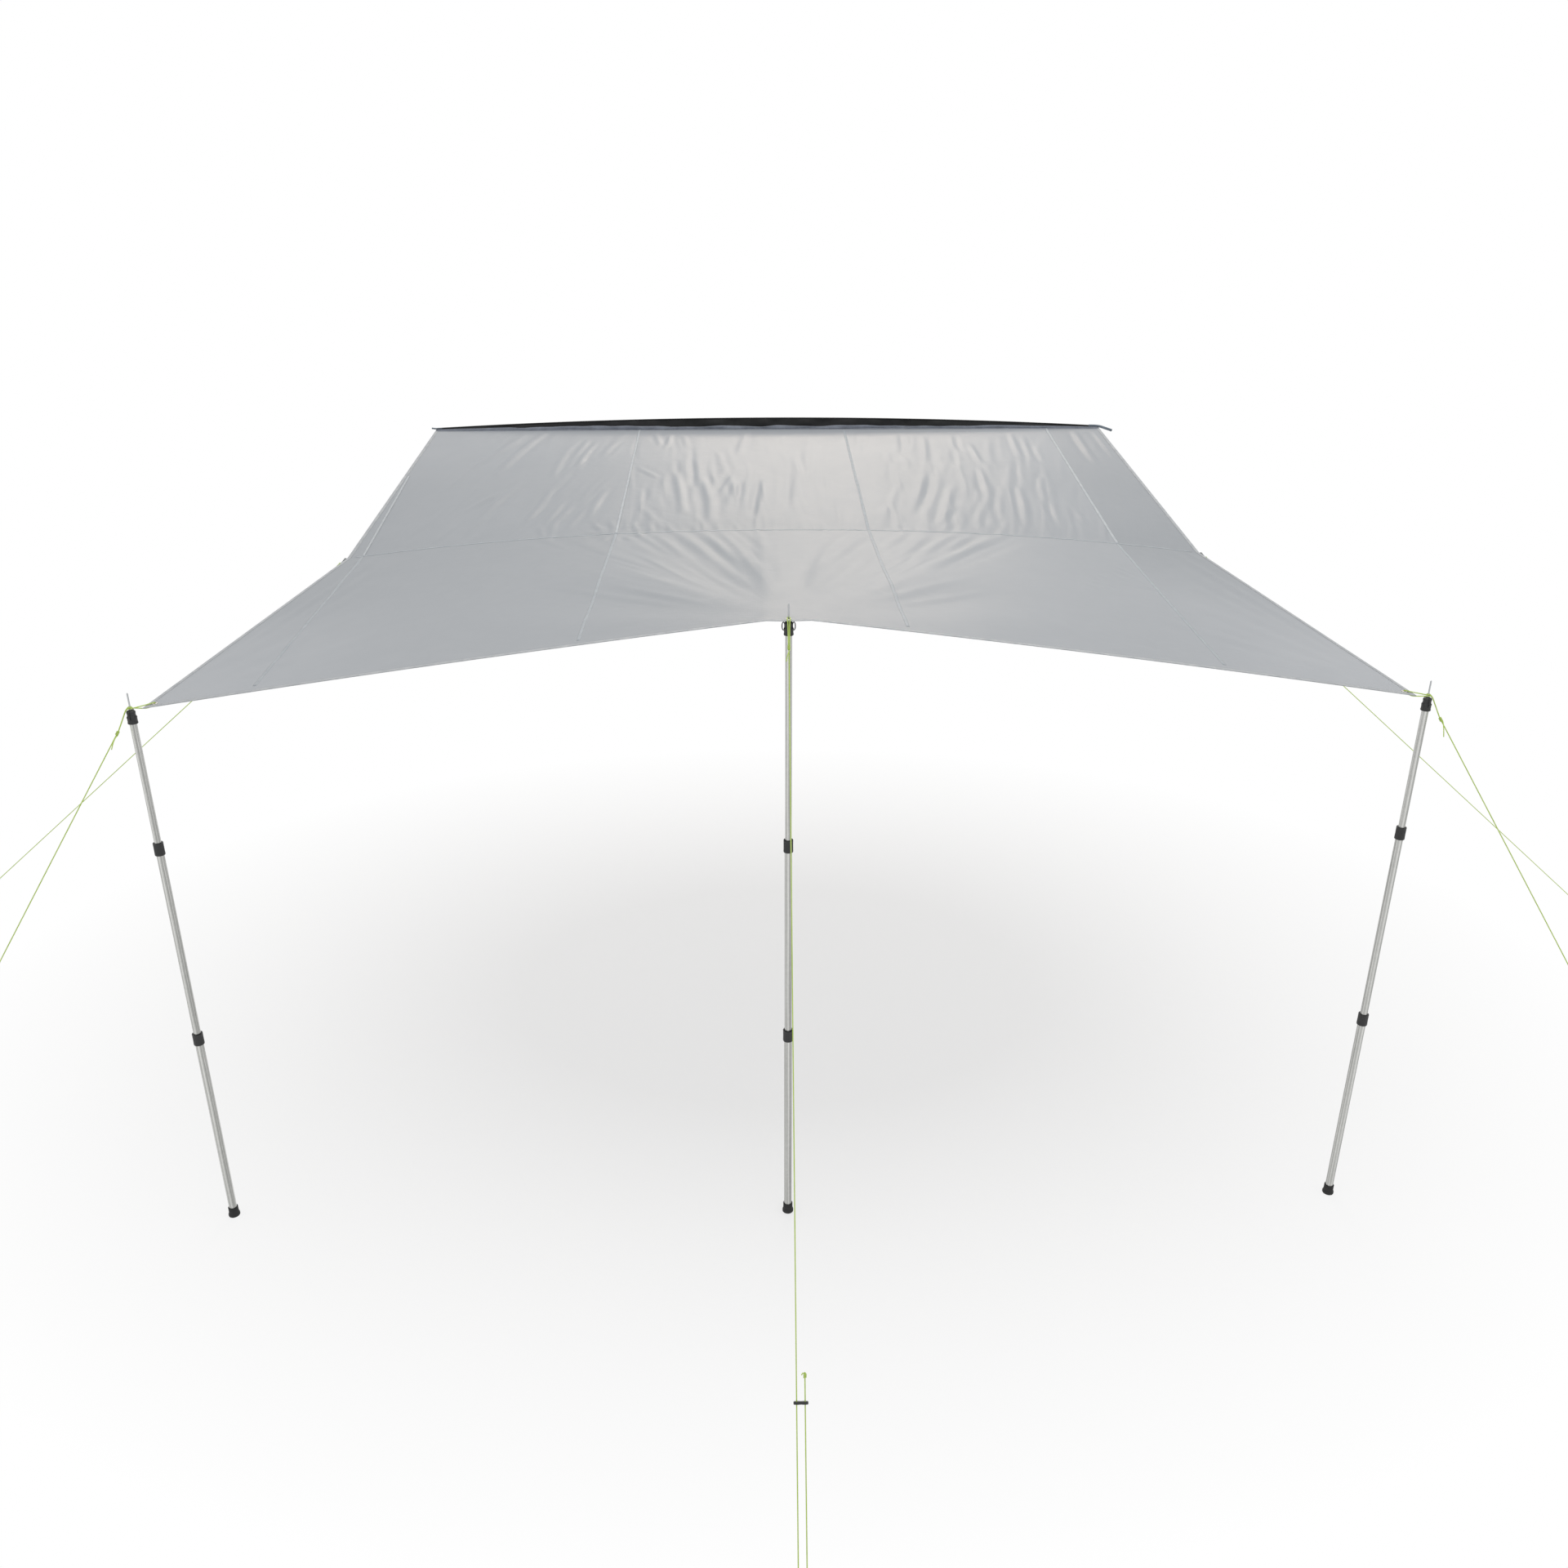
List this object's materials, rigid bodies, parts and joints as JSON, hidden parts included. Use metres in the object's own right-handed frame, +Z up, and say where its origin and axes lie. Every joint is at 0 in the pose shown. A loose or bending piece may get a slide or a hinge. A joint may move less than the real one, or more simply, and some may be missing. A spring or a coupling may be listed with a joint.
{
  "type": "caravan sun canopy",
  "caption": "Grey sun canopy held along one edge in an awning rail and along the other on telescopic poles, with guy lines and ground pegs.",
  "frame": {"origin": "middle of the keder bead, on its centre line, where the awning rail holds the canopy", "axes": "+X along the rail to the right as seen from the front, -Y out from the wall to the poles, +Z up; the ground is at z = -2.55"},
  "size_m": [8.8253, 4.479, 2.6847],
  "materials": {
    "coated_cloth": "satin",
    "hem_tape": "matte",
    "keder": "matte",
    "aluminium": "satin",
    "black_nylon": "satin",
    "black_rubber": "matte",
    "white_acetal": "satin",
    "steel": "polished",
    "nickel": "polished",
    "webbing": "matte",
    "guy_rope": "matte",
    "runner_nylon": "satin"
  },
  "bodies": {
    "canopy": {"canopy_sheet": "coated_cloth", "hem_band": "hem_tape", "keder_strip": "keder", "centre_eyelet": "nickel", "tip_eyelet_left": "nickel", "tip_loop_left": "guy_rope", "knee_tab_left": "webbing", "knee_ring_left": "steel", "tip_eyelet_right": "nickel", "tip_loop_right": "guy_rope", "knee_tab_right": "webbing", "knee_ring_right": "steel", "head_loop_left": "guy_rope", "head_loop_centre": "guy_rope", "head_loop_right": "guy_rope", "guy_line_left_pole": "guy_rope", "guy_line_centre_pole": "guy_rope", "guy_line_right_pole": "guy_rope", "guy_line_left_side": "guy_rope", "guy_line_right_side": "guy_rope", "ground_peg_left_pole": "steel", "ground_peg_centre_pole": "steel", "ground_peg_right_pole": "steel", "ground_peg_left_side": "steel", "ground_peg_right_side": "steel"},
    "left_pole_top": {"left_pole_head": "black_nylon", "left_pole_spike": "steel", "left_pole_top_tube": "aluminium"},
    "left_pole_mid": {"left_pole_mid_tube": "aluminium", "left_pole_upper_collet": "white_acetal"},
    "left_pole_bottom": {"left_pole_bottom_tube": "aluminium", "left_pole_lower_collet": "white_acetal", "left_pole_foot": "black_rubber"},
    "left_pole_upper_twist": {"left_pole_upper_collar": "black_nylon"},
    "left_pole_lower_twist": {"left_pole_lower_collar": "black_nylon"},
    "centre_pole_top": {"centre_pole_head": "black_nylon", "centre_pole_spike": "steel", "centre_pole_top_tube": "aluminium"},
    "centre_pole_mid": {"centre_pole_mid_tube": "aluminium", "centre_pole_upper_collet": "white_acetal"},
    "centre_pole_bottom": {"centre_pole_bottom_tube": "aluminium", "centre_pole_lower_collet": "white_acetal", "centre_pole_foot": "black_rubber"},
    "centre_pole_upper_twist": {"centre_pole_upper_collar": "black_nylon"},
    "centre_pole_lower_twist": {"centre_pole_lower_collar": "black_nylon"},
    "right_pole_top": {"right_pole_head": "black_nylon", "right_pole_spike": "steel", "right_pole_top_tube": "aluminium"},
    "right_pole_mid": {"right_pole_mid_tube": "aluminium", "right_pole_upper_collet": "white_acetal"},
    "right_pole_bottom": {"right_pole_bottom_tube": "aluminium", "right_pole_lower_collet": "white_acetal", "right_pole_foot": "black_rubber"},
    "right_pole_upper_twist": {"right_pole_upper_collar": "black_nylon"},
    "right_pole_lower_twist": {"right_pole_lower_collar": "black_nylon"},
    "left_pole_runner": {"guy_runner_left_pole": "runner_nylon"},
    "centre_pole_runner": {"guy_runner_centre_pole": "runner_nylon"},
    "right_pole_runner": {"guy_runner_right_pole": "runner_nylon"},
    "left_side_runner": {"guy_runner_left_side": "runner_nylon"},
    "right_side_runner": {"guy_runner_right_side": "runner_nylon"}
  },
  "joints": [
    {"name": "left_pole_lean", "type": "hinge", "parent": "canopy", "child": "left_pole_top", "pos_m": [-2.09, -2.905, -0.526], "axis": [0.4107, -0.9118, 0], "range_deg": [0, 12]},
    {"name": "left_pole_upper_slide", "type": "slide", "parent": "left_pole_top", "child": "left_pole_mid", "axis": [0, 0, 1], "range_m": [-0.1, 0.4]},
    {"name": "left_pole_lower_slide", "type": "slide", "parent": "left_pole_mid", "child": "left_pole_bottom", "axis": [0, 0, 1], "range_m": [-0.03, 0.65]},
    {"name": "left_pole_upper_twist_turn", "type": "hinge", "parent": "left_pole_mid", "child": "left_pole_upper_twist", "pos_m": [-2.09, -2.905, -1.015], "axis": [0, 0, 1], "range_deg": [0, 90]},
    {"name": "left_pole_lower_twist_turn", "type": "hinge", "parent": "left_pole_bottom", "child": "left_pole_lower_twist", "pos_m": [-2.09, -2.905, -1.76], "axis": [0, 0, 1], "range_deg": [0, 90]},
    {"name": "centre_pole_lean", "type": "hinge", "parent": "canopy", "child": "centre_pole_top", "pos_m": [0, -2.945, -0.241], "axis": [1, 0, 0], "range_deg": [0, 12]},
    {"name": "centre_pole_upper_slide", "type": "slide", "parent": "centre_pole_top", "child": "centre_pole_mid", "axis": [0, 0, 1], "range_m": [-0.03, 0.68]},
    {"name": "centre_pole_lower_slide", "type": "slide", "parent": "centre_pole_mid", "child": "centre_pole_bottom", "axis": [0, 0, 1], "range_m": [-0.03, 0.65]},
    {"name": "centre_pole_upper_twist_turn", "type": "hinge", "parent": "centre_pole_mid", "child": "centre_pole_upper_twist", "pos_m": [0, -2.945, -1.015], "axis": [0, 0, 1], "range_deg": [0, 90]},
    {"name": "centre_pole_lower_twist_turn", "type": "hinge", "parent": "centre_pole_bottom", "child": "centre_pole_lower_twist", "pos_m": [0, -2.945, -1.76], "axis": [0, 0, 1], "range_deg": [0, 90]},
    {"name": "right_pole_lean", "type": "hinge", "parent": "canopy", "child": "right_pole_top", "pos_m": [2.09, -2.905, -0.526], "axis": [0.4107, 0.9118, 0], "range_deg": [0, 12]},
    {"name": "right_pole_upper_slide", "type": "slide", "parent": "right_pole_top", "child": "right_pole_mid", "axis": [0, 0, 1], "range_m": [-0.1, 0.4]},
    {"name": "right_pole_lower_slide", "type": "slide", "parent": "right_pole_mid", "child": "right_pole_bottom", "axis": [0, 0, 1], "range_m": [-0.03, 0.65]},
    {"name": "right_pole_upper_twist_turn", "type": "hinge", "parent": "right_pole_mid", "child": "right_pole_upper_twist", "pos_m": [2.09, -2.905, -1.015], "axis": [0, 0, 1], "range_deg": [0, 90]},
    {"name": "right_pole_lower_twist_turn", "type": "hinge", "parent": "right_pole_bottom", "child": "right_pole_lower_twist", "pos_m": [2.09, -2.905, -1.76], "axis": [0, 0, 1], "range_deg": [0, 90]},
    {"name": "left_pole_runner_slide", "type": "slide", "parent": "canopy", "child": "left_pole_runner", "axis": [-0.5038, -0.2269, -0.8335], "range_m": [-0.04, 0.35]},
    {"name": "centre_pole_runner_slide", "type": "slide", "parent": "canopy", "child": "centre_pole_runner", "axis": [-0.0073, -0.547, -0.8371], "range_m": [-0.04, 0.35]},
    {"name": "right_pole_runner_slide", "type": "slide", "parent": "canopy", "child": "right_pole_runner", "axis": [0.5038, -0.2269, -0.8335], "range_m": [-0.04, 0.35]},
    {"name": "left_side_runner_slide", "type": "slide", "parent": "canopy", "child": "left_side_runner", "axis": [-0.7664, 0.0886, -0.6363], "range_m": [-0.04, 0.35]},
    {"name": "right_side_runner_slide", "type": "slide", "parent": "canopy", "child": "right_side_runner", "axis": [0.7664, 0.0886, -0.6363], "range_m": [-0.04, 0.35]}
  ]
}
